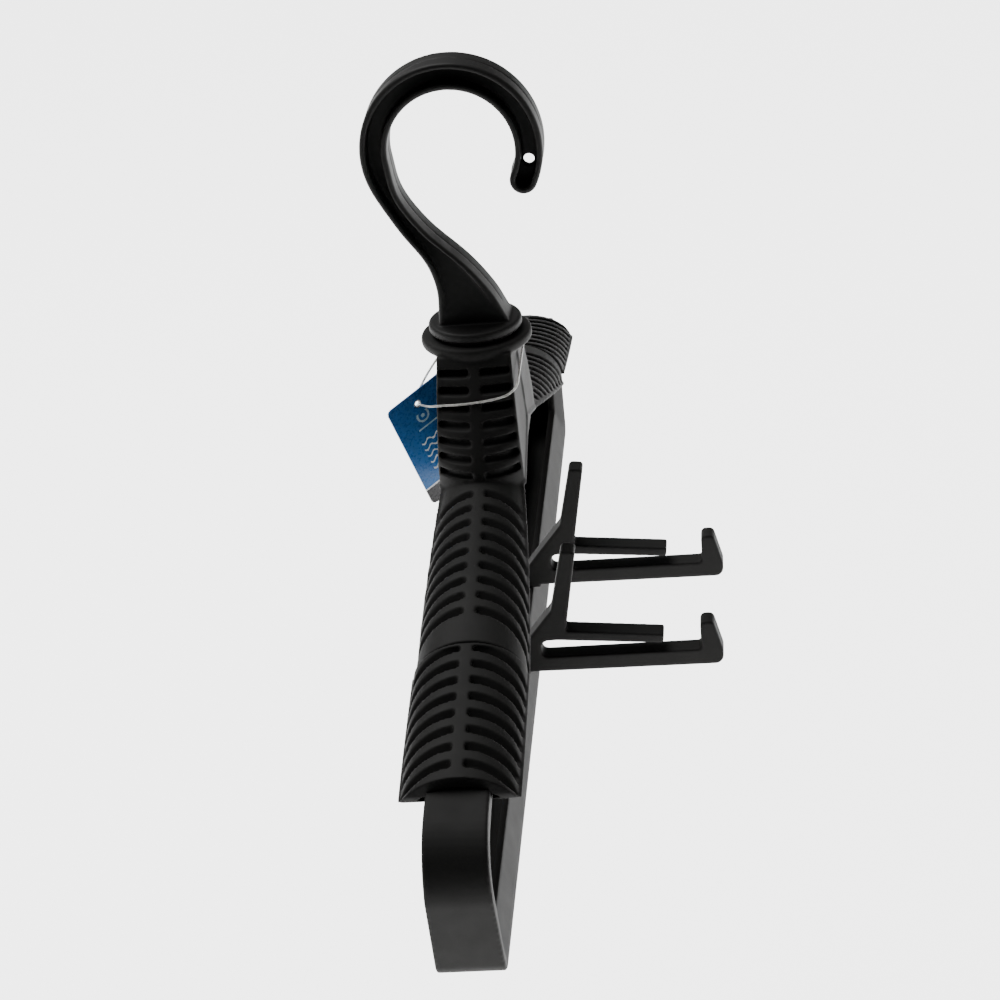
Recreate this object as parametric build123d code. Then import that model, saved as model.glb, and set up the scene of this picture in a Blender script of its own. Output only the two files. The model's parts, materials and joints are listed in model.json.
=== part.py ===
"""Heavy-duty hanger for wetsuits and dive gear, with a swivel hook and two gear forks.

The origin is the point of the hook that bears on a rod, on the swivel axis.
X runs along the arms, -Y is the front (the side of the forks), Z is up. Sizes are in mm.
"""
from build123d import *
from math import atan, cos, degrees, pi, radians, sin, tan
import os

os.makedirs("parts", exist_ok=True)

# Hook: a C of constant width, then a shank that sweeps down into a wide foot.
HOOK_Y, HOOK_Z = 1.6, -24.95        # centre of the C
HOOK_R_IN, HOOK_R_OUT = 25.0, 35.9
HOOK_HALF_X = 8.2
HOOK_TIP_DEG = 207.0                # end of the C, counted from +Y over the top
HOOK_OUT_DEG, HOOK_IN_DEG = -15.0, -8.0
HOOK_RIM, HOOK_RECESS = 2.4, 6.6    # raised rim round the sides, depth of the recess
HOOK_FADE_Z, HOOK_FADE_END_Z = -52.0, -92.0     # the recess runs out between these heights
TIP_HOLE_R, TIP_HOLE_DEG = 2.2, 193.6
NUB_R, NUB_DEG = 2.5, 206.7

# Collar: upper disc of the hook, thin washer, flange of the yoke.
DISC_R, DISC_TOP, DISC_BOTTOM = 18.9, -97.6, -101.9
GAP = 0.3
FIT = 0.15
WASHER_T = 0.8
FLANGE_R, FLANGE_TOP, FLANGE_BOTTOM = 22.4, -103.0, -107.6
STEM_R, STEM_CLEARANCE = 7.0, 0.08
FLANGE_SEAT = -112.4                # underside of the flange, inside the neck
PILOT_R = 2.0

# Yoke: neck and the two inner shoulders.
NECK_TOP_Z, NECK_TOP_HALF, NECK_SPREAD = -106.0, 14.9, 0.05
NECK_STATIONS = [(-106.0, 20.5, 1.3), (-120.0, 30.0, 2.6), (-133.5, 38.5, 5.5), (-147.0, 45.0, 9.0)]
RIM_Z, RIM_SLOPE = -143.8, 0.345    # lower edge of the yoke, an upturned V
BEAD = 0.7                          # height of the bead along the edges
SKIRT = 5.0                         # overlap of the neck's inner skirt beside the loop
WALL = 1.8
SPINE_HALF = 2.35
NECK_SLOTS, NECK_SLOT_TOP, NECK_PITCH, NECK_SLOT = 7, -111.9, 5.9, 3.0
CREST_X, CREST_Z, CREST_SLOPE = 52.0, -151.6, 0.2115
RIB, RIB_PITCH, RIB_DEPTH = 5.0, 8.62, 3.0
RIB_LEAN = 0.55                     # outward run of a rib for each mm that it drops
INNER_START_X, INNER_END_X = 38.0, 137.6
INNER_FIRST, INNER_RIBS = 50.6, 9
LIP = 1.9
SHELL_LOW = -240.0                  # below every lip, where the sections are closed

# Outer shoulder caps.
CAP_START_X, CAP_END_X = 137.75, 208.0
CAP_LIP_Z, CAP_LIP_END_Z = -186.0, -197.3
CAP_DROP = 0.3
CAP_FIRST, CAP_RIBS = 139.9, 8
CAP_POCKET = 2.4                    # depth of the shaded hollow at the outer end
CAP_END_ROUND = 4.5                 # the lower corners are rounded off over this length

# Loop frame: a channel that opens inwards, all the way round.
FRAME_HALF, FRAME_INNER_HALF = 12.8, 8.9
FRAME_TAPER = 0.0187                # the loop narrows upwards by this much a side for each mm
FRAME_DEPTH, FRAME_WEB = 16.5, 2.4
FRAME_WALL = 3.2
FRAME_DROP = 5.6
FRAME_MID_X = 36.0
FRAME_END_X, FRAME_FOOT_X, FRAME_BOTTOM = 243.5, 227.5, -256.5
FRAME_END_R, FRAME_FOOT_R = 22.0, 8.0
LEAST_R = 2.0

# Gear forks.
FORK_X, FORK_T = 37.9, 9.0
BAR_TOP = FRAME_BOTTOM + FRAME_DEPTH

# Fasteners.
FRAME_SCREW_X = 30.0

# Hang tag and its loop.
TAG_W, TAG_H, TAG_T = 31.0, 50.0, 0.6
TAG_TILT, TAG_TURN = 19.5, 38.0
TAG_CORNER = (-15.0, 38.4, -131.0)
TAG_FLANK_Y = 18.1
TAG_BEND_R = 3.0
EYELET_IN, EYELET_DOWN = 13.8, 5.5
LOOP_D = 0.9


def crest(x):
    """Height of the shoulder's crest at a distance x from the middle."""
    return CREST_Z - CREST_SLOPE * (abs(x) - CREST_X)


def save(node, shape):
    """Write one node as STEP."""
    shape.label = node
    export_step(shape, f"parts/{node}.step")
    return shape


def polar(radius, angle):
    """Point of the hook's plane at an angle round the centre of the C."""
    return (HOOK_Y + radius * cos(radians(angle)), HOOK_Z + radius * sin(radians(angle)))


def hook_outline(inset=0.0):
    """Side view of the hook, in the YZ plane, moved inwards by inset."""
    r_out, r_in = HOOK_R_OUT - inset, HOOK_R_IN + inset
    mid = (HOOK_R_OUT + HOOK_R_IN) / 2
    centre = (HOOK_Y, HOOK_Z)
    back = [(30.1 - inset, -48.2), (23.4 - inset, -59.8), (16.4 - inset, -70.8), (13.2 - inset, -83.0)]
    front = [(24.6 + inset, -40.2), (18.9 + inset, -51.8), (12.5 + inset, -60.2), (4.4 + inset, -68.4)]
    front += [(-3.4 + inset, -77.4), (-9.4 + inset, -86.4)]
    back_foot, front_foot = (13.6 - inset, DISC_TOP), (-14.6 + inset, DISC_TOP)
    with BuildLine() as line:
        outer = CenterArc(centre, r_out, HOOK_OUT_DEG, HOOK_TIP_DEG - HOOK_OUT_DEG)
        inner = CenterArc(centre, r_in, HOOK_IN_DEG, HOOK_TIP_DEG - HOOK_IN_DEG)
        reach = (HOOK_R_OUT - HOOK_R_IN) / 2 - inset
        tip_centre = polar(mid, HOOK_TIP_DEG)
        down = radians(HOOK_TIP_DEG + 90)
        tip = (tip_centre[0] + reach * cos(down), tip_centre[1] + reach * sin(down))
        ThreePointArc(outer @ 1, tip, inner @ 1)
        Spline(outer @ 0, *back, back_foot, tangents=[-(outer % 0), (0, -1)])
        Spline(inner @ 0, *front, front_foot, tangents=[-(inner % 0), (-0.45, -1)])
        Line(back_foot, front_foot)
    return make_face(line.line)


def hook():
    """Swivel hook with its disc and hollow stem, in one piece."""
    side = Plane.YZ * hook_outline()
    body = extrude(side, HOOK_HALF_X, both=True)
    body = fillet(body.faces().filter_by(Axis.X).edges().filter_by(
        lambda e: e.center().Z > DISC_TOP + 1), 1.3)
    recess = extrude(Plane.YZ * hook_outline(HOOK_RIM), HOOK_HALF_X + 1, both=True)
    floor_x, air_x = HOOK_HALF_X - HOOK_RECESS, HOOK_HALF_X + 2
    fade = [(floor_x, 20), (floor_x, HOOK_FADE_Z), (HOOK_HALF_X, HOOK_FADE_END_Z), (air_x, HOOK_FADE_END_Z),
            (air_x, 20)]
    reach = extrude(upright(make_face(Polyline(*fade, close=True)), 60), 120)
    body -= recess & reach
    body -= recess & reach.mirror(Plane.YZ)
    groove = extrude(side, 0.5, both=True) - extrude(Plane.YZ * hook_outline(0.45), 0.6, both=True)
    groove &= Pos(0, 0, DISC_TOP / 2 + 14) * Box(4, 90, -DISC_TOP + 16)
    body -= groove
    hole_y, hole_z = polar((HOOK_R_IN + HOOK_R_OUT) / 2, TIP_HOLE_DEG)
    body -= Pos(0, hole_y, hole_z) * Rot(0, 90, 0) * Cylinder(TIP_HOLE_R, 30)
    nub_y, nub_z = polar(HOOK_R_IN - 0.4, NUB_DEG)
    body += Pos(0, nub_y, nub_z) * Sphere(NUB_R)
    pip_y, pip_z = 26.6, -43.6
    body -= Pos(-HOOK_HALF_X + HOOK_RECESS, pip_y, pip_z) * Rot(0, 90, 0) * Cylinder(0.6, 1.6)
    disc = Pos(0, 0, (DISC_TOP + DISC_BOTTOM) / 2) * Cylinder(DISC_R, DISC_TOP - DISC_BOTTOM)
    disc = fillet(disc.edges().filter_by(GeomType.CIRCLE), 1.5)
    stem_end = FLANGE_SEAT - GAP
    stem_top = DISC_BOTTOM + 0.5
    stem = Pos(0, 0, (stem_top + stem_end) / 2) * Cylinder(STEM_R, stem_top - stem_end)
    pilot = Pos(0, 0, stem_end + 5) * Cylinder(PILOT_R, 13)
    return body + disc + stem - pilot


def swivel_washer():
    """Thin low-friction washer between the hook's disc and the flange."""
    ring = Cylinder(FLANGE_R - 5.2, WASHER_T) - Cylinder(STEM_R + 0.15, WASHER_T)
    return Pos(0, 0, DISC_BOTTOM - WASHER_T / 2) * ring


def retaining_washer():
    """Steel washer that keeps the stem in the neck."""
    top = FLANGE_SEAT - GAP
    return Pos(0, 0, top - 0.8) * (Cylinder(9.5, 1.6) - Cylinder(PILOT_R + 0.2, 1.6))


def retaining_screw():
    """Pan-head screw up into the hook's stem."""
    top = FLANGE_SEAT - GAP - 1.6
    head = Pos(0, 0, top - 1.5) * Cylinder(4.2, 3.0)
    head = fillet(head.edges().group_by(Axis.Z)[0], 1.2)
    slot = Pos(0, 0, top - 2.6) * (Box(5.0, 1.0, 1.6) + Box(1.0, 5.0, 1.6))
    shank = Pos(0, 0, top + 5.5) * Cylinder(PILOT_R - 0.02, 11.0)
    return head + shank - slot


def neck_section(z, half_x, bulge, half_y):
    """Level section of the neck: flat sides and rounded ends."""
    edge_x = half_x - bulge
    with BuildLine() as line:
        front = Line((-edge_x, -half_y), (edge_x, -half_y))
        right = ThreePointArc(front @ 1, (half_x, 0), (edge_x, half_y))
        back = Line(right @ 1, (-edge_x, half_y))
        ThreePointArc(back @ 1, (-half_x, 0), front @ 0)
    return Pos(0, 0, z) * make_face(line.line)


def neck_half(z):
    """Half-thickness of the neck at a height."""
    return NECK_TOP_HALF + NECK_SPREAD * (NECK_TOP_Z - z)


def neck_body(inset_x, inset_y, z_top, z_bottom):
    """Flaring neck, loft of level sections, with its ends and sides moved inwards."""
    faces = [neck_section(z, half_x - inset_x, bulge, neck_half(z) - inset_y)
             for z, half_x, bulge in NECK_STATIONS]
    base_z, base_x, base_bulge = NECK_STATIONS[-1]
    foot_face = neck_section(base_z, base_x - inset_x, base_bulge, neck_half(base_z) - inset_y)
    body = loft(faces) + extrude(foot_face, base_z - z_bottom, dir=(0, 0, -1))
    keep = Pos(0, 0, (z_top + z_bottom) / 2) * Box(200, 60, z_top - z_bottom)
    return body & keep


def slab(points, half_y):
    """Prism of a polygon drawn in X and Z, as deep as half_y on both sides."""
    return extrude(upright(make_face(Polyline(*points, close=True)), half_y), 2 * half_y)


def arch_section(x, half_w, rise, top):
    """Upright section of a shoulder: half an ellipse on two straight flanks."""
    with BuildLine() as line:
        left = Line((-half_w, SHELL_LOW), (-half_w, top - rise))
        crown = EllipticalCenterArc((0, top - rise), half_w, rise, start_angle=0, arc_size=180)
        right = Line((half_w, top - rise), (half_w, SHELL_LOW))
        Line(right @ 1, left @ 0)
    return Plane((x, 0, 0), x_dir=(0, 1, 0), z_dir=(1, 0, 0)) * make_face(line.line)


def lip_at(stations, x):
    """Height of a shoulder's lower edge, a straight line from end to end."""
    x0, lip0, x1, lip1 = stations[0][0], stations[0][4], stations[-1][0], stations[-1][4]
    return lip0 + (lip1 - lip0) * (x - x0) / (x1 - x0)


def lip_slab(stations, low, high, trim=(-9.0, 9.0)):
    """Prism between two heights above the lip; trim moves its two ends."""
    x0, x1 = stations[0][0] + trim[0], stations[-1][0] + trim[1]
    z0, z1 = lip_at(stations, x0), lip_at(stations, x1)
    return slab([(x0, z0 + low), (x1, z1 + low), (x1, z1 + high), (x0, z0 + high)], 40.0)


def shoulder_loft(stations, inset, over=0.0, deeper=0.0):
    """Loft of arch sections moved inwards by inset, cut at the lip; over lengthens both ends."""
    faces = []
    for index, (x, half_w, rise, top, lip) in enumerate(stations):
        shift = over * (1 if index == len(stations) - 1 else -1 if index == 0 else 0)
        faces.append(arch_section(x + shift, half_w - inset, rise - inset, top - inset))
    return loft(faces) & lip_slab(stations, -deeper, 80.0)


def grooves(first_x, count, reach):
    """Slabs that stand in the gaps between the ribs, on both sides of the spine."""
    lean = degrees(atan(RIB_LEAN))
    width = (RIB_PITCH - RIB) * cos(radians(lean))
    slabs = []
    for index in range(count):
        x = first_x + index * RIB_PITCH
        for sign in (-1, 1):
            gap = Pos(x, sign * (SPINE_HALF + 20), crest(x)) * Rot(0, -lean, 0) * Box(width, 40, 80)
            slabs.append(gap & reach)
    return slabs


def ribbed_shell(stations, first_x, count):
    """Hollow shoulder with ribs across its outside, a spine on its crest and a bead along its lip."""
    outer = shoulder_loft(stations, 0.0)
    core = shoulder_loft(stations, RIB_DEPTH, over=2.0, deeper=1.0)
    cavity = shoulder_loft(stations, RIB_DEPTH + WALL, over=1.0, deeper=2.0)
    reach = lip_slab(stations, LIP, 80.0, trim=(1.5, -2.0))
    shell = outer
    for cutter in grooves(first_x, count, reach):
        shell -= cutter - core
    bead = shoulder_loft(stations, -BEAD) & lip_slab(stations, -1.0, LIP - 0.6)
    return shell + bead - cavity


def rim_z(x):
    """Height of the yoke's lower edge."""
    return RIM_Z - RIM_SLOPE * abs(x)


INNER_STATIONS = [(x, w, rise, crest(x), rim_z(x)) for x, w, rise in
                  ((INNER_START_X, 18.6, 15.0), (72.0, 19.2, 15.6), (106.0, 20.4, 16.6),
                   (INNER_END_X, 21.0, 17.1))]
CAP_STATIONS = [(CAP_START_X, 21.4, 15.0, crest(CAP_START_X) - CAP_DROP, CAP_LIP_Z),
                (174.0, 21.8, 15.2, crest(174.0) - CAP_DROP, (CAP_LIP_Z + CAP_LIP_END_Z) / 2),
                (CAP_END_X, 22.0, 15.4, crest(CAP_END_X) - CAP_DROP, CAP_LIP_END_Z)]


def yoke():
    """Neck with the flange, and both inner shoulders, in one moulding."""
    flange = Pos(0, 0, (FLANGE_TOP + FLANGE_BOTTOM) / 2) * Cylinder(FLANGE_R, FLANGE_TOP - FLANGE_BOTTOM)
    flange = fillet(flange.edges().filter_by(GeomType.CIRCLE), 1.7)
    taper_h = FLANGE_BOTTOM - FLANGE_SEAT + 1.6
    taper = Pos(0, 0, FLANGE_BOTTOM - taper_h / 2 + 0.8) * Cone(14.8, FLANGE_R - 1.2, taper_h)
    neck = neck_body(0.0, 0.0, -106.5, -175.0)
    core = neck_body(RIB_DEPTH + 0.6, 0.0, -100.0, -176.0)
    for row in range(NECK_SLOTS):
        z = NECK_SLOT_TOP - row * NECK_PITCH
        for sign_y in (-1, 1):
            y_in, y_out = SPINE_HALF, neck_half(z) - 1.1
            slot = Pos(0, sign_y * (y_in + y_out) / 2, z) * Box(140, y_out - y_in, NECK_SLOT)
            neck -= slot - core
    bead = neck_body(0.0, -BEAD, -110.0, -175.0)
    side, above = 70.0, 20.0
    rim = [(-side, rim_z(side) + 1.8), (0, RIM_Z + 1.8), (side, rim_z(side) + 1.8), (side, -260), (-side, -260)]
    neck += bead & (slab(rim, 40.0) + Pos(0, 0, -130.0) * Box(1.6, 80, 40))
    neck &= slab([(-side, rim_z(side)), (0, RIM_Z), (side, rim_z(side)), (side, above), (-side, above)], 40.0)
    neck += neck_body(2.0, 1.8, -125.0, boss_end() - SKIRT)
    shape = flange + taper + neck
    right = ribbed_shell(INNER_STATIONS, INNER_FIRST, INNER_RIBS)
    shape += right
    shape += right.mirror(Plane.YZ)
    cavity = neck_body(RIB_DEPTH + 0.6 + WALL, 3.6, FLANGE_SEAT, -177.0)
    tunnel = frame_passage() & Pos(0, 0, boss_end()) * Box(94, 60, 60)
    shape -= cavity + tunnel
    for sign in (-1, 1):
        boss = Pos(sign * FRAME_SCREW_X, 0, -146.0) * Cylinder(4.0, 26.0)
        web = Pos(sign * (FRAME_SCREW_X + 5.0), 0, -143.0) * Box(10.0, 2.0, 20.0)
        shape += (boss + web) & neck_body(0.5, 0.5, FLANGE_SEAT, boss_end())
        shape -= Pos(sign * FRAME_SCREW_X, 0, boss_end() + 5.0) * Cylinder(1.62, 11.0)
    shape -= Pos(0, 0, -106.0) * Cylinder(STEM_R + STEM_CLEARANCE, 16.0)
    return shape


def frame_outline(inset):
    """Closed outline of the loop, moved inwards by inset, with rounded corners."""
    mid_z, end_z = boss_end(), crest(FRAME_END_X) - FRAME_DROP
    corners = [(-FRAME_MID_X, mid_z), (FRAME_MID_X, mid_z), (FRAME_END_X, end_z), (FRAME_FOOT_X, FRAME_BOTTOM),
               (-FRAME_FOOT_X, FRAME_BOTTOM), (-FRAME_END_X, end_z)]
    face = make_face(Polyline(*corners, close=True))
    if inset:
        face = offset(face, -inset, kind=Kind.INTERSECTION)
        face = face if isinstance(face, Sketch) else Sketch() + face
    for vertex in face.vertices():
        if abs(vertex.X) < 100:
            radius = 30.0 + inset
        elif vertex.Y > FRAME_BOTTOM + 40:
            radius = max(FRAME_END_R - inset, LEAST_R)
        else:
            radius = max(FRAME_FOOT_R - inset, LEAST_R)
        face = fillet(min(face.vertices(), key=lambda v: (v.X - vertex.X) ** 2 + (v.Y - vertex.Y) ** 2),
                      radius)
    return face


def upright(face, y):
    """Place a face drawn in X and Z on the plane at depth y."""
    return Plane((0, y, 0), x_dir=(1, 0, 0), z_dir=(0, -1, 0)) * face


def frame_draft(extra=0.0):
    """Wedge that gives the loop its width, wider at the bottom."""
    top, low = -120.0, FRAME_BOTTOM - 1
    top_half = FRAME_HALF - FRAME_TAPER * (top - FRAME_BOTTOM) + extra
    low_half = FRAME_HALF + extra
    face = make_face(Polyline((-top_half, top), (top_half, top), (low_half, low), (-low_half, low), close=True))
    return extrude(Plane.YZ * face, 260, both=True)


def frame_passage():
    """Room that the loop needs where it goes through a wall."""
    return extrude(upright(frame_outline(-0.08), 30), 60) & frame_draft(0.12)


def frame_loop():
    """Closed loop of channel section: smooth outer band, two leaning side walls."""
    outer = frame_outline(0.0)
    inner = frame_outline(FRAME_DEPTH)
    block = extrude(upright(outer - inner, FRAME_HALF), 2 * FRAME_HALF)
    for sign in (-1, 1):
        slope = loft([upright(frame_outline(FRAME_WEB), sign * (FRAME_HALF + 0.01)),
                      upright(inner, sign * FRAME_INNER_HALF)], ruled=True)
        block -= slope
    slot_half = FRAME_INNER_HALF - FRAME_WALL
    channel = extrude(upright(frame_outline(FRAME_WEB) - frame_outline(FRAME_DEPTH + 1.0), slot_half),
                      2 * slot_half)
    block -= channel
    for stations in (INNER_STATIONS, CAP_STATIONS):
        over = Pos((stations[0][0] + stations[-1][0]) / 2, 0, -172.0) * Box(
            stations[-1][0] - stations[0][0] + 0.2, 60, 60)
        room = shoulder_loft(stations, RIB_DEPTH + WALL + FIT, over=1.0, deeper=30.0)
        trim = over - room
        block -= trim
        block -= trim.mirror(Plane.YZ)
    block &= frame_draft()
    top_z = boss_end()
    for x in (-FRAME_SCREW_X, FRAME_SCREW_X):
        block -= Pos(x, 0, top_z - 1) * Cylinder(1.9, 8.0)
    block -= Pos(0, 0, top_z - 1) * Cylinder(5.4, 8.0)
    return block


def boss_end():
    """Underside of the screw bosses, on the top of the frame."""
    return crest(FRAME_MID_X) - FRAME_DROP


def frame_screws():
    """The two screws that hold the frame up to the yoke, seen from below."""
    under = boss_end() - FRAME_WEB
    screws = []
    for x in (-FRAME_SCREW_X, FRAME_SCREW_X):
        head = Pos(x, 0, under - 1.1) * Cylinder(3.4, 2.2)
        head = fillet(head.edges().group_by(Axis.Z)[0], 0.9)
        recess = Pos(x, 0, under - 1.9) * (Box(3.8, 0.8, 1.2) + Box(0.8, 3.8, 1.2))
        shank = Pos(x, 0, under + 5.4) * Cylinder(1.6, 10.8)
        screws.append(head + shank - recess)
    return Compound(children=screws)


def shoulder_cap():
    """Right outer shoulder: ribbed hood, closed round the loop at its outer end."""
    shell = ribbed_shell(CAP_STATIONS, CAP_FIRST, CAP_RIBS)
    inside = shoulder_loft(CAP_STATIONS, RIB_DEPTH + 0.4)
    band = frame_passage()
    for x, thick in ((150.0, 2.0), (180.0, 2.0), (CAP_END_X - CAP_POCKET - 1.4, 2.8)):
        wall = (Pos(x, 0, -186.0) * Box(thick, 60, 60)) & inside
        shell += wall - band
    sill = Pos(CAP_END_X - 2.5, 0, CAP_LIP_END_Z + 1.4) * Box(5.0, 60, 2.4)
    shell += (sill & inside) - band
    low_z, start_x, round_off = CAP_LIP_END_Z - 4.0, CAP_START_X - 1.0, CAP_END_ROUND
    corner = [(start_x, -150), (start_x, low_z), (CAP_END_X - round_off, low_z),
              (CAP_END_X - round_off, CAP_LIP_END_Z + 0.6), (CAP_END_X - 0.3 * round_off, CAP_LIP_END_Z + 1.9),
              (CAP_END_X, CAP_LIP_END_Z + round_off), (CAP_END_X, -150)]
    return shell & slab(corner, 40.0)


def gear_fork(x):
    """Flat fork: up-peg, middle peg and a long arm with a turned-up tip."""
    outline = [(0.6, BAR_TOP), (-10.6, -225.6), (-22.6, -211.0), (-28.8, -184.2), (-34.8, -184.7),
               (-28.0, -220.5), (-67.8, -224.3), (-67.2, -228.4), (-24.0, -224.7), (-17.4, -224.9),
               (-17.4, -232.2), (-82.4, -232.1), (-82.6, -219.6), (-88.0, -219.6), (-91.4, -233.4),
               (-91.2, -239.3), (-12.0, -238.9), (-12.0, BAR_TOP)]
    radii = {1: 3.0, 2: 5.0, 3: 1.6, 4: 1.6, 5: 0.8, 6: 0.8, 7: 0.8, 9: 3.2, 10: 2.4, 11: 1.6, 12: 2.2, 13: 2.4,
             14: 3.0, 15: 3.6}
    face = make_face(Polyline(*outline, close=True))
    for index, radius in radii.items():
        y, z = outline[index]
        corner = min(face.vertices(), key=lambda v: (v.X - y) ** 2 + (v.Y - z) ** 2)
        face = fillet(corner, radius)
    plate = Pos(x - FORK_T / 2, 0, 0) * extrude(Plane.YZ * face, FORK_T)
    sides = plate.faces().filter_by(Axis.X)
    plate = fillet(sides.edges().filter_by(lambda e: e.center().Z > BAR_TOP + 0.5), 0.7)
    tongue_half = FRAME_INNER_HALF - FRAME_WALL - 0.1
    tongue = Pos(x, -tongue_half / 2 + 0.3, BAR_TOP - 5.0) * Box(FORK_T - 1.0, tongue_half - 0.6, 10.0)
    return plate + tongue


def tag_outline():
    """Card, flat, with its upper left corner at the origin; it leans by TAG_TILT."""
    card = Pos(TAG_W / 2, -TAG_H / 2) * RectangleRounded(TAG_W, TAG_H, 2.4)
    card -= Pos(EYELET_IN, -EYELET_DOWN) * Circle(1.7)
    return Rot(0, 0, TAG_TILT) * card


def tag_fold():
    """Run of the flat part from the corner to the bend, and the centre of the bend."""
    turn = radians(TAG_TURN)
    fold = (TAG_CORNER[1] - TAG_FLANK_Y - TAG_BEND_R * (1 - sin(turn))) / cos(turn)
    centre_x = TAG_CORNER[0] + fold * sin(turn) + TAG_BEND_R * cos(turn)
    return fold, centre_x


def tag_card():
    """Card that stands off beside the neck, and bends to lie along the neck's flank."""
    card = tag_outline()
    turn = radians(TAG_TURN)
    fold, centre_x = tag_fold()
    outer_part = card & Pos(fold - 50, 0) * Rectangle(100, 200)
    inner_part = card & Pos(fold + 50, 0) * Rectangle(100, 200)
    facing = Plane(TAG_CORNER, x_dir=(sin(turn), -cos(turn), 0), z_dir=(-cos(turn), -sin(turn), 0))
    front = extrude(facing * outer_part, TAG_T, dir=(cos(turn), sin(turn), 0))
    along = Plane((centre_x - fold, TAG_FLANK_Y, TAG_CORNER[2]), x_dir=(1, 0, 0), z_dir=(0, -1, 0))
    side = extrude(along * inner_part, TAG_T, dir=(0, 1, 0))
    cut = (card & Pos(fold, 0) * Rectangle(0.02, 200)).bounding_box()
    low, high = TAG_CORNER[2] + cut.min.Y, TAG_CORNER[2] + cut.max.Y
    ring = Cylinder(TAG_BEND_R, high - low) - Cylinder(TAG_BEND_R - TAG_T, high - low)
    far = 3 * TAG_BEND_R
    wedge = make_face(Polyline((0, 0), (-far * cos(turn), -far * sin(turn)), (-far, -far), (0, -far), close=True))
    ring &= extrude(wedge, TAG_H, both=True)
    bend = Pos(centre_x, TAG_FLANK_Y + TAG_BEND_R, (low + high) / 2) * ring
    return front + bend + side


def tag_place(across, down):
    """Place on the flat part of the card's face, from its upper left corner."""
    lean, turn = radians(TAG_TILT), radians(TAG_TURN)
    run = across * cos(lean) + down * sin(lean)
    rise = across * sin(lean) - down * cos(lean)
    return TAG_CORNER[0] + run * sin(turn), TAG_CORNER[1] - run * cos(turn), TAG_CORNER[2] + rise


def tag_eyelet():
    """Small ring pressed into the card."""
    lip = Cylinder(2.4, 0.4) - Cylinder(1.1, 0.4)
    barrel = Cylinder(1.6, TAG_T) - Cylinder(1.1, TAG_T)
    ring = Pos(0, 0, -0.2) * lip + Pos(0, 0, TAG_T / 2) * barrel + Pos(0, 0, TAG_T + 0.2) * lip
    return Pos(*tag_place(EYELET_IN, EYELET_DOWN)) * Rot(0, 0, TAG_TURN) * Rot(0, 90, 0) * ring


# Route of the tag's loop, out of the eyelet, round the neck and back, chosen by hand.
LOOP_ROUTE = [(-7.0, 25.8, -131.5), (-18.3, 22.0, -127.3), (-29.6, 18.3, -122.7), (-30.2, 13.8, -122.3),
              (-31.8, 6.0, -121.7), (-31.8, -2.0, -121.1), (-30.4, -10.0, -120.5), (-28.9, -13.9, -119.5),
              (-26.6, -16.8, -117.6), (-20.0, -17.1, -116.6), (-8.0, -17.1, -116.2), (4.0, -17.1, -116.0),
              (14.0, -17.1, -116.2), (22.0, -17.1, -116.8), (27.0, -16.8, -117.8), (29.6, -13.6, -119.3),
              (31.3, -8.0, -120.3), (32.1, 0.0, -121.0), (31.8, 8.0, -121.4), (30.6, 13.6, -121.6),
              (28.2, 17.2, -121.6), (20.0, 18.0, -121.2), (14.0, 19.0, -120.9), (8.0, 20.8, -121.8),
              (4.4, 23.2, -124.4), (0.4, 26.0, -128.2), (-3.6, 28.1, -131.2)]


def cord_radii(route):
    """Radius of each corner's arc: 0.45 of the shorter run, over the tangent of half the turn."""
    points = [Vector(*p) for p in route]
    radii = []
    for before, here, after in zip(points, points[1:], points[2:]):
        turn = (here - before).get_angle(after - here)
        shorter = min((here - before).length, (after - here).length)
        radii.append(0.45 * shorter / tan(radians(turn) / 2))
    return radii


def tag_loop():
    """Nylon loop that holds the tag, a free cord round the neck."""
    radii = cord_radii(LOOP_ROUTE)
    path = FilletPolyline(*LOOP_ROUTE, radius=radii)
    start = Plane(origin=path @ 0, z_dir=path % 0)
    tube = sweep(start * Circle(LOOP_D / 2), path=path)
    expected = pi * (LOOP_D / 2) ** 2 * path.length
    print("loop length", round(path.length, 1), "volume ratio", round(tube.volume / expected, 4))
    print("loop radii", [round(radius, 1) for radius in radii])
    return tube


def main():
    """Build every node and write it."""
    cap = shoulder_cap()
    nodes = {
        "hook": hook(),
        "swivel_washer": swivel_washer(),
        "retaining_washer": retaining_washer(),
        "retaining_screw": retaining_screw(),
        "yoke": yoke(),
        "frame_loop": frame_loop(),
        "frame_screws": frame_screws(),
        "shoulder_cap_right": cap,
        "shoulder_cap_left": cap.mirror(Plane.YZ),
        "gear_fork_left": gear_fork(-FORK_X),
        "gear_fork_right": gear_fork(FORK_X),
        "tag_card": tag_card(),
        "tag_eyelet": tag_eyelet(),
        "tag_loop": tag_loop(),
    }
    for node, shape in nodes.items():
        save(node, shape)


main()
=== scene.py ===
"""Looks of the hanger for wetsuits and dive gear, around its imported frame. Lengths are in metres."""

import json
from math import cos, pi, radians, sin

import bmesh
import bpy
from mathutils import Matrix, Vector

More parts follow.
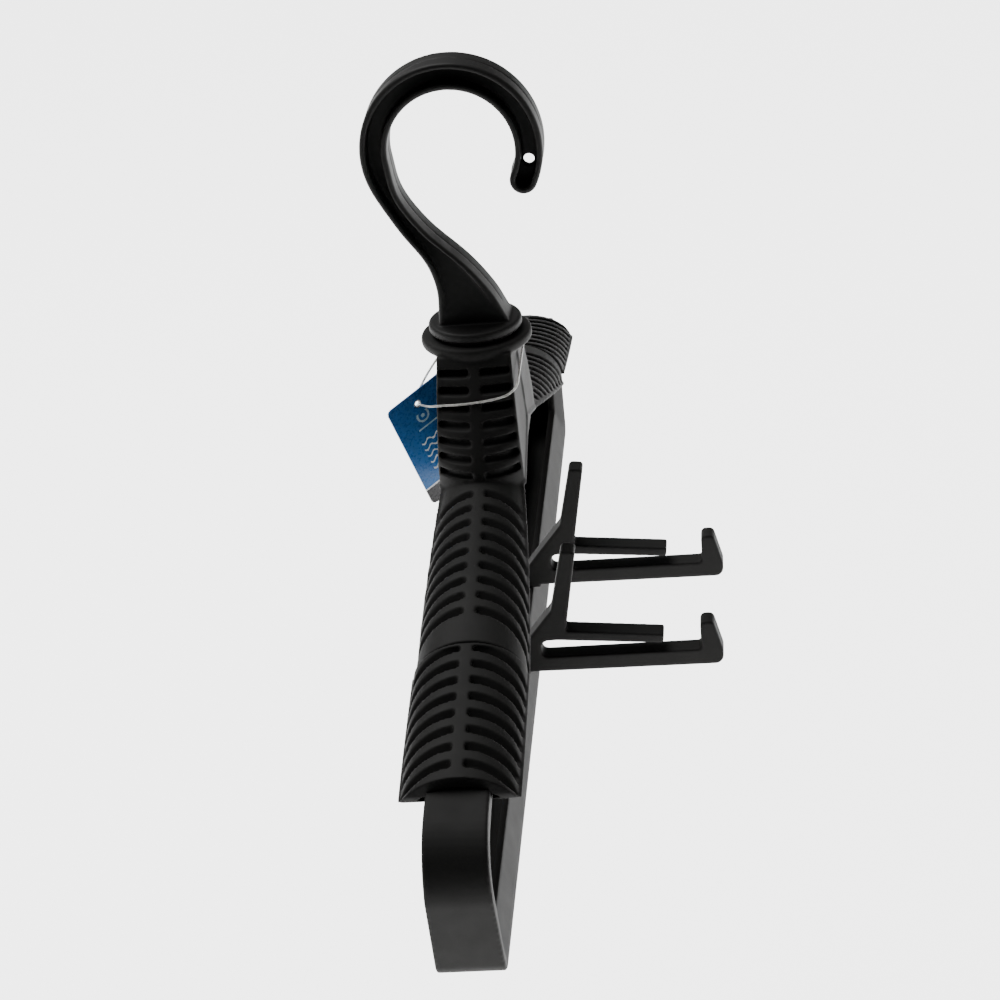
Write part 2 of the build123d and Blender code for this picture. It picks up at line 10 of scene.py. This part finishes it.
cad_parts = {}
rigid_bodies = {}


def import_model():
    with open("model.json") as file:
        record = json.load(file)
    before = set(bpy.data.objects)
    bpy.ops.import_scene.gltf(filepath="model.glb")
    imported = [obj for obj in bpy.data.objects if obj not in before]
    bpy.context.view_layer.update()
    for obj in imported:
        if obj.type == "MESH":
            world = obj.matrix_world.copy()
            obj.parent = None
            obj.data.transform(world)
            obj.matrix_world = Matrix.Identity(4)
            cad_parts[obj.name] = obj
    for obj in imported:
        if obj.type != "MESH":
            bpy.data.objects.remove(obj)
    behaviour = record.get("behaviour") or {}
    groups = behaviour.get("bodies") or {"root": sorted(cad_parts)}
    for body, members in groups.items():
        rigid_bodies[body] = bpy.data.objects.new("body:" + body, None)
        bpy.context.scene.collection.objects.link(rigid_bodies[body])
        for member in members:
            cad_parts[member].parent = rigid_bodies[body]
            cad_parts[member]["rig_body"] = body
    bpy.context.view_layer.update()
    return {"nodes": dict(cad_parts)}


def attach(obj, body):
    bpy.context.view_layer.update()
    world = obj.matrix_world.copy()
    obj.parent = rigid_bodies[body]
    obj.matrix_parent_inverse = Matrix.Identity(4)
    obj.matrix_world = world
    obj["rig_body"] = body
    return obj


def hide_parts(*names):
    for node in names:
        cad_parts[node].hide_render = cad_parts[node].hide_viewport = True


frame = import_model()
SCENE = bpy.context.scene
NODES = frame["nodes"]
MM = 0.001


# ---------------------------------------------------------------- camera, light and floor

CAMERA_AT = Vector((-1.0619, -0.1241, 0.3438))
PITCH, YAW, ROLL = radians(26.12), radians(6.55), radians(6.155)
LENS, SENSOR = 103.4, 36.0
BRIGHT_TOWARDS = (0.62, 0.28, 0.73)     # the side from which the surroundings light the hanger
DIM, BRIGHT = 0.15, 4.5                 # strength away from that side and towards it
DIM_AT, BRIGHT_AT = -0.5, 0.95          # cosines at which those strengths are reached
TOP_AT, TOP_SIZE, TOP_POWER = (0.5, 0.7, 1.6), 1.4, 45
WASH_X, WASH_Z, WASH_SIZE, WASH_POWER = 7.4, -0.36, 16.0, 3200
FLOOR_Z, FLOOR_SIZE, FLOOR_WHITE = -0.62, 30, 0.92


def make_camera():
    """Long lens that looks down along the arms, a little rolled."""
    forward = Vector((cos(PITCH) * cos(YAW), cos(PITCH) * sin(YAW), -sin(PITCH)))
    right = forward.cross(Vector((0, 0, 1))).normalized()
    up = right.cross(forward)
    rolled_right = cos(ROLL) * right - sin(ROLL) * up
    rolled_up = sin(ROLL) * right + cos(ROLL) * up
    data = bpy.data.cameras.new("camera")
    data.lens = LENS
    data.sensor_width = SENSOR
    data.clip_start = 0.05
    data.clip_end = 50
    camera = bpy.data.objects.new("camera", data)
    turn = Matrix((rolled_right, rolled_up, -forward)).transposed()
    camera.matrix_world = Matrix.Translation(CAMERA_AT) @ turn.to_4x4()
    SCENE.collection.objects.link(camera)
    SCENE.camera = camera


def area_light(name, place, target, size, power):
    """Square soft light that faces a point."""
    data = bpy.data.lights.new(name, "AREA")
    data.shape = "SQUARE"
    data.size = size
    data.energy = power
    light = bpy.data.objects.new(name, data)
    aim = Vector(target) - Vector(place)
    light.matrix_world = Matrix.Translation(place) @ aim.to_track_quat("-Z", "Y").to_matrix().to_4x4()
    SCENE.collection.objects.link(light)


def make_world():
    """Studio surroundings: bright overhead and behind the hanger, dim on its near side."""
    world = bpy.data.worlds.new("studio")
    world.use_nodes = True
    tree = world.node_tree
    background = tree.nodes["Background"]
    place = tree.nodes.new("ShaderNodeTexCoord")
    facing = tree.nodes.new("ShaderNodeVectorMath")
    facing.operation = "DOT_PRODUCT"
    facing.inputs[1].default_value = BRIGHT_TOWARDS
    tree.links.new(place.outputs["Generated"], facing.inputs[0])
    level = tree.nodes.new("ShaderNodeMapRange")
    level.interpolation_type = "SMOOTHSTEP"
    level.inputs["From Min"].default_value = DIM_AT
    level.inputs["From Max"].default_value = BRIGHT_AT
    level.inputs["To Min"].default_value = DIM
    level.inputs["To Max"].default_value = BRIGHT
    tree.links.new(facing.outputs["Value"], level.inputs["Value"])
    tree.links.new(level.outputs["Result"], background.inputs["Strength"])
    SCENE.world = world


def make_stage():
    """Pale floor well below the hanger, a soft light over it and an even wash on the floor."""
    make_world()
    area_light("top_light", TOP_AT, (0, 0, -0.1), TOP_SIZE, TOP_POWER)
    area_light("floor_wash", (WASH_X, 0, WASH_Z), (WASH_X, 0, -1), WASH_SIZE, WASH_POWER)
    bpy.ops.mesh.primitive_plane_add(size=FLOOR_SIZE, location=(0, 0, FLOOR_Z))
    floor = bpy.context.object
    floor.name = "floor"
    material = bpy.data.materials.new("floor")
    material.use_nodes = True
    shader = material.node_tree.nodes["Principled BSDF"]
    shader.inputs["Base Color"].default_value = (FLOOR_WHITE, FLOOR_WHITE, FLOOR_WHITE, 1)
    shader.inputs["Roughness"].default_value = 0.9
    floor.data.materials.append(material)


# ---------------------------------------------------------------- materials

def new_material(name):
    """Empty node material and its shader."""
    material = bpy.data.materials.new(name)
    material.use_nodes = True
    return material, material.node_tree.nodes["Principled BSDF"]


def noise(tree, scale, detail=3.0, rough=0.55):
    """Noise in the row frame's own coordinates, in features per metre."""
    place = tree.nodes.new("ShaderNodeTexCoord")
    node = tree.nodes.new("ShaderNodeTexNoise")
    node.inputs["Scale"].default_value = scale
    node.inputs["Detail"].default_value = detail
    node.inputs["Roughness"].default_value = rough
    tree.links.new(place.outputs["Object"], node.inputs["Vector"])
    return node


def ramp(tree, source, low, high, start=0.35, end=0.65):
    """Two-colour ramp from a value."""
    node = tree.nodes.new("ShaderNodeValToRGB")
    node.color_ramp.elements[0].position = start
    node.color_ramp.elements[0].color = (*low, 1)
    node.color_ramp.elements[1].position = end
    node.color_ramp.elements[1].color = (*high, 1)
    tree.links.new(source, node.inputs["Fac"])
    return node


def spread(tree, source, low, high):
    """Value mapped from 0..1 to low..high."""
    node = tree.nodes.new("ShaderNodeMapRange")
    node.inputs["To Min"].default_value = low
    node.inputs["To Max"].default_value = high
    tree.links.new(source, node.inputs["Value"])
    return node.outputs["Result"]


def bump(tree, source, shader, distance, strength=1.0):
    """Bump of a height given in metres."""
    node = tree.nodes.new("ShaderNodeBump")
    node.inputs["Distance"].default_value = distance
    node.inputs["Strength"].default_value = strength
    tree.links.new(source, node.inputs["Height"])
    tree.links.new(node.outputs["Normal"], shader.inputs["Normal"])


SPECULAR, PLASTIC_IOR = 0.24, 1.49


def moulded_plastic(name, dark, light, rough_low, rough_high, grain=0.00003):
    """Moulded plastic: faint flow marks in the colour, fine grain, uneven gloss."""
    material, shader = new_material(name)
    tree = material.node_tree
    flow = noise(tree, 28.0, 4.0)
    colours = ramp(tree, flow.outputs["Fac"], dark, light)
    tree.links.new(colours.outputs["Color"], shader.inputs["Base Color"])
    smear = noise(tree, 90.0, 5.0)
    tree.links.new(spread(tree, smear.outputs["Fac"], rough_low, rough_high), shader.inputs["Roughness"])
    texture = noise(tree, 2600.0, 2.0)
    bump(tree, texture.outputs["Fac"], shader, grain)
    shader.inputs["IOR"].default_value = PLASTIC_IOR
    shader.inputs["Specular IOR Level"].default_value = SPECULAR
    return material


def steel_material():
    """Stainless steel with fine turning marks."""
    material, shader = new_material("stainless")
    tree = material.node_tree
    marks = noise(tree, 900.0, 2.0)
    colours = ramp(tree, marks.outputs["Fac"], (0.42, 0.42, 0.43), (0.62, 0.62, 0.63))
    tree.links.new(colours.outputs["Color"], shader.inputs["Base Color"])
    shader.inputs["Metallic"].default_value = 1.0
    tree.links.new(spread(tree, marks.outputs["Fac"], 0.22, 0.42), shader.inputs["Roughness"])
    bump(tree, marks.outputs["Fac"], shader, 0.00002)
    return material


def nylon_material():
    """Clear monofilament, milky at this thickness."""
    material, shader = new_material("monofilament")
    tree = material.node_tree
    haze = noise(tree, 700.0, 2.0)
    colours = ramp(tree, haze.outputs["Fac"], (0.55, 0.54, 0.50), (0.78, 0.77, 0.74))
    tree.links.new(colours.outputs["Color"], shader.inputs["Base Color"])
    tree.links.new(spread(tree, haze.outputs["Fac"], 0.16, 0.3), shader.inputs["Roughness"])
    shader.inputs["Transmission Weight"].default_value = 0.35
    shader.inputs["IOR"].default_value = 1.53
    return material


PLASTIC = moulded_plastic("black_polypropylene", (0.0055, 0.0053, 0.0048), (0.009, 0.0086, 0.0078),
                          0.64, 0.76)
HOOK_PLASTIC = moulded_plastic("black_nylon", (0.006, 0.0058, 0.0054), (0.0095, 0.0092, 0.0085), 0.52, 0.64)
ACETAL = moulded_plastic("acetal", (0.03, 0.03, 0.03), (0.05, 0.05, 0.05), 0.3, 0.4)
STEEL = steel_material()
NYLON = nylon_material()
EYELET = moulded_plastic("eyelet_white", (0.74, 0.74, 0.73), (0.86, 0.86, 0.85), 0.25, 0.35)


def paint(obj, material):
    """Give an object one material."""
    obj.data.materials.clear()
    obj.data.materials.append(material)


def finish_cad():
    """Materials of the CAD nodes that are shown as they are."""
    for node in ("yoke", "frame_loop", "shoulder_cap_left", "shoulder_cap_right", "gear_fork_left",
                 "gear_fork_right"):
        paint(NODES[node], PLASTIC)
    paint(NODES["hook"], HOOK_PLASTIC)
    paint(NODES["swivel_washer"], ACETAL)
    for node in ("retaining_washer", "retaining_screw", "frame_screws"):
        paint(NODES[node], STEEL)
    paint(NODES["tag_eyelet"], EYELET)


# ---------------------------------------------------------------- softened mouldings

SMOOTH_BY, SMOOTH_PASSES, KEEP_FACES = 0.5, 3, 0.3
# Cell size in mm of each moulding's rounded mesh.
SOFTENED = {"yoke": 0.62, "shoulder_cap_left": 0.5, "shoulder_cap_right": 0.5, "hook": 0.55,
            "frame_loop": 0.8, "gear_fork_left": 0.45, "gear_fork_right": 0.45}


def soften(node, voxel_mm, material):
    """Copy of a CAD node with its sharp moulded edges rounded."""
    source = NODES[node]
    piece = bpy.data.objects.new(node + "_moulding", source.data.copy())
    SCENE.collection.objects.link(piece)
    remesh = piece.modifiers.new("remesh", "REMESH")
    remesh.mode = "VOXEL"
    remesh.voxel_size = voxel_mm * MM
    smooth = piece.modifiers.new("smooth", "SMOOTH")
    smooth.factor = SMOOTH_BY
    smooth.iterations = SMOOTH_PASSES
    thin = piece.modifiers.new("thin", "DECIMATE")
    thin.ratio = KEEP_FACES
    graph = bpy.context.evaluated_depsgraph_get()
    mesh = bpy.data.meshes.new_from_object(piece.evaluated_get(graph))
    piece.modifiers.clear()
    piece.data = mesh
    for polygon in mesh.polygons:
        polygon.use_smooth = True
    paint(piece, material)
    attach(piece, source["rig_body"])
    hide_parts(node)


def soften_all():
    """Round the edges of the mouldings that the camera sees."""
    for node, voxel in SOFTENED.items():
        material, slot = (HOOK_PLASTIC, "hook_plastic") if node == "hook" else (PLASTIC, "black_plastic")
        soften(node, voxel, material)


# ---------------------------------------------------------------- hang tag

TAG_W, TAG_H, TAG_T = 31.0 * MM, 50.0 * MM, 0.6 * MM
TAG_TILT, TAG_TURN = radians(19.5), radians(38.0)
TAG_CORNER = Vector((-15.0, 38.4, -131.0)) * MM
TAG_FLANK_Y, TAG_BEND_R = 18.1 * MM, 3.0 * MM
EYELET_IN, EYELET_DOWN, EYELET_R = 13.8 * MM, 5.5 * MM, 1.75 * MM
CARD_CELL, CARD_ROUND = 0.25 * MM, 2.4 * MM


def bend(run, rise):
    """Point of the flat card, given from its corner, carried round to lie along the neck's flank."""
    ahead = Vector((sin(TAG_TURN), -cos(TAG_TURN), 0))
    face = Vector((-cos(TAG_TURN), -sin(TAG_TURN), 0))
    fold = (TAG_CORNER.y - TAG_FLANK_Y - TAG_BEND_R * (1 - sin(TAG_TURN))) / cos(TAG_TURN)
    arc = TAG_BEND_R * (pi / 2 - TAG_TURN)
    lift = Vector((0, 0, rise))
    if run < fold:
        return TAG_CORNER + run * ahead + lift
    centre = TAG_CORNER + fold * ahead - TAG_BEND_R * face + lift
    if run < fold + arc:
        turn = TAG_TURN + (run - fold) / TAG_BEND_R
        return centre + TAG_BEND_R * Vector((-cos(turn), -sin(turn), 0))
    return centre + Vector((run - fold - arc, -TAG_BEND_R, 0))


def card_material():
    """Laminated card: blue field with soft light, white line, black foot, pale generic marks."""
    material, shader = new_material("laminated_card")
    tree = material.node_tree
    colour = tree.nodes.new("ShaderNodeVertexColor")
    colour.layer_name = "print"
    fibre = noise(tree, 800.0, 4.0)
    mix = tree.nodes.new("ShaderNodeMix")
    mix.data_type = "RGBA"
    mix.blend_type = "MULTIPLY"
    mix.inputs["Factor"].default_value = 1.0
    shade = ramp(tree, fibre.outputs["Fac"], (0.9, 0.9, 0.9), (1.0, 1.0, 1.0))
    tree.links.new(colour.outputs["Color"], mix.inputs["A"])
    tree.links.new(shade.outputs["Color"], mix.inputs["B"])
    tree.links.new(mix.outputs["Result"], shader.inputs["Base Color"])
    tree.links.new(spread(tree, fibre.outputs["Fac"], 0.22, 0.34), shader.inputs["Roughness"])
    bump(tree, fibre.outputs["Fac"], shader, 0.00001)
    return material


BLUE_TOP, BLUE_LOW = Vector((0.012, 0.105, 0.33)), Vector((0.016, 0.15, 0.44))
WHITE, INK, PALE = Vector((0.82, 0.84, 0.86)), Vector((0.02, 0.018, 0.02)), Vector((0.42, 0.56, 0.66))


LINE_FROM, LINE_TO = 41.7, 42.4                     # white line, in mm down the card
RING_AT, RING_IN, RING_OUT, RING_OPEN, DOT_R = (13.6, 11.4), 2.2, 3.1, -1.6, 0.9
BAR_ACROSS, BAR_DOWN = (9.0, 19.0), (16.2, 17.0)
WAVES_ACROSS, WAVES_DOWN = (7.5, 22.0), (21.0, 37.0)
WAVE_LENGTH, WAVE_PITCH, WAVE_HEIGHT, WAVE_HALF = 4.8, 3.2, 0.7, 0.42


def print_colour(across, down):
    """Colour of the card's print at a place given from its upper left corner, in metres."""
    across, down = across / MM, down / MM
    if down > LINE_TO:
        return INK
    if down > LINE_FROM:
        return WHITE
    blue = BLUE_TOP.lerp(BLUE_LOW, min(max(down / 40.0, 0), 1))
    ring_x, ring_y = across - RING_AT[0], down - RING_AT[1]
    reach = (ring_x ** 2 + ring_y ** 2) ** 0.5
    if RING_IN < reach < RING_OUT and ring_y > RING_OPEN:
        return PALE
    if reach < DOT_R:
        return PALE
    if BAR_DOWN[0] < down < BAR_DOWN[1] and BAR_ACROSS[0] < across < BAR_ACROSS[1]:
        return PALE
    if WAVES_DOWN[0] < down < WAVES_DOWN[1] and WAVES_ACROSS[0] < across < WAVES_ACROSS[1]:
        wave = WAVE_HEIGHT * sin((across - WAVES_ACROSS[0]) * 2 * pi / WAVE_LENGTH)
        if abs(((down - WAVES_DOWN[0]) % WAVE_PITCH) - WAVE_PITCH / 2 - wave) < WAVE_HALF:
            return WHITE
    return blue


def in_card(across, down):
    """Whether a place is on the card, inside its round corners and outside the eyelet's hole."""
    corner = CARD_ROUND
    near_x = min(max(across, corner), TAG_W - corner)
    near_y = min(max(down, corner), TAG_H - corner)
    if (across - near_x) ** 2 + (down - near_y) ** 2 > corner ** 2:
        return False
    return (across - EYELET_IN) ** 2 + (down - EYELET_DOWN) ** 2 > EYELET_R ** 2


def make_card():
    """The printed card, as a thin sheet of fine cells bent like the CAD's card."""
    step = CARD_CELL
    columns, rows = round(TAG_W / step), round(TAG_H / step)
    mesh = bpy.data.meshes.new("tag_card_printed")
    build = bmesh.new()
    ink = build.loops.layers.float_color.new("print")
    grid = {}

    def corner(i, j):
        if (i, j) not in grid:
            across, down = i * step, j * step
            run = across * cos(TAG_TILT) + down * sin(TAG_TILT)
            rise = across * sin(TAG_TILT) - down * cos(TAG_TILT)
            grid[i, j] = build.verts.new(bend(run, rise))
        return grid[i, j]

    for i in range(columns):
        for j in range(rows):
            across, down = (i + 0.5) * step, (j + 0.5) * step
            if not in_card(across, down):
                continue
            face = build.faces.new([corner(i, j), corner(i, j + 1), corner(i + 1, j + 1), corner(i + 1, j)])
            colour = (*print_colour(across, down), 1)
            for loop in face.loops:
                loop[ink] = colour
    bmesh.ops.recalc_face_normals(build, faces=build.faces)
    build.to_mesh(mesh)
    build.free()
    card = bpy.data.objects.new("tag_card_printed", mesh)
    SCENE.collection.objects.link(card)
    thick = card.modifiers.new("thick", "SOLIDIFY")
    thick.thickness = TAG_T
    thick.offset = -1
    graph = bpy.context.evaluated_depsgraph_get()
    solid = bpy.data.meshes.new_from_object(card.evaluated_get(graph))
    card.modifiers.clear()
    card.data = solid
    paint(card, card_material())
    for polygon in solid.polygons:
        polygon.use_smooth = False
    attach(card, "hanger")
    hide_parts("tag_card")
    return card


LOOP_D, LOOP_LENGTH = 0.9 * MM, 0.1886
# Route of the tag's loop, the same points as its tube's.
LOOP_ROUTE = [(-7.0, 25.8, -131.5), (-18.3, 22.0, -127.3), (-29.6, 18.3, -122.7), (-30.2, 13.8, -122.3),
              (-31.8, 6.0, -121.7), (-31.8, -2.0, -121.1), (-30.4, -10.0, -120.5), (-28.9, -13.9, -119.5),
              (-26.6, -16.8, -117.6), (-20.0, -17.1, -116.6), (-8.0, -17.1, -116.2), (4.0, -17.1, -116.0),
              (14.0, -17.1, -116.2), (22.0, -17.1, -116.8), (27.0, -16.8, -117.8), (29.6, -13.6, -119.3),
              (31.3, -8.0, -120.3), (32.1, 0.0, -121.0), (31.8, 8.0, -121.4), (30.6, 13.6, -121.6),
              (28.2, 17.2, -121.6), (20.0, 18.0, -121.2), (14.0, 19.0, -120.9), (8.0, 20.8, -121.8),
              (4.4, 23.2, -124.4), (0.4, 26.0, -128.2), (-3.6, 28.1, -131.2)]


def make_loop(card):
    """The nylon loop round the neck, a smooth line through its route."""
    data = bpy.data.curves.new("tag_loop_line", "CURVE")
    data.dimensions = "3D"
    data.resolution_u = 12
    data.bevel_depth = LOOP_D / 2
    data.bevel_resolution = 4
    data.use_fill_caps = True
    spline = data.splines.new("NURBS")
    spline.points.add(len(LOOP_ROUTE) - 1)
    for point, place in zip(spline.points, LOOP_ROUTE):
        point.co = (*(value * MM for value in place), 1)
    spline.order_u = 3
    spline.use_endpoint_u = True
    loop = bpy.data.objects.new("tag_loop_line", data)
    SCENE.collection.objects.link(loop)
    data.materials.append(NYLON)
    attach(loop, "hanger")
    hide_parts("tag_loop")


make_camera()
make_stage()
finish_cad()
soften_all()
make_loop(make_card())
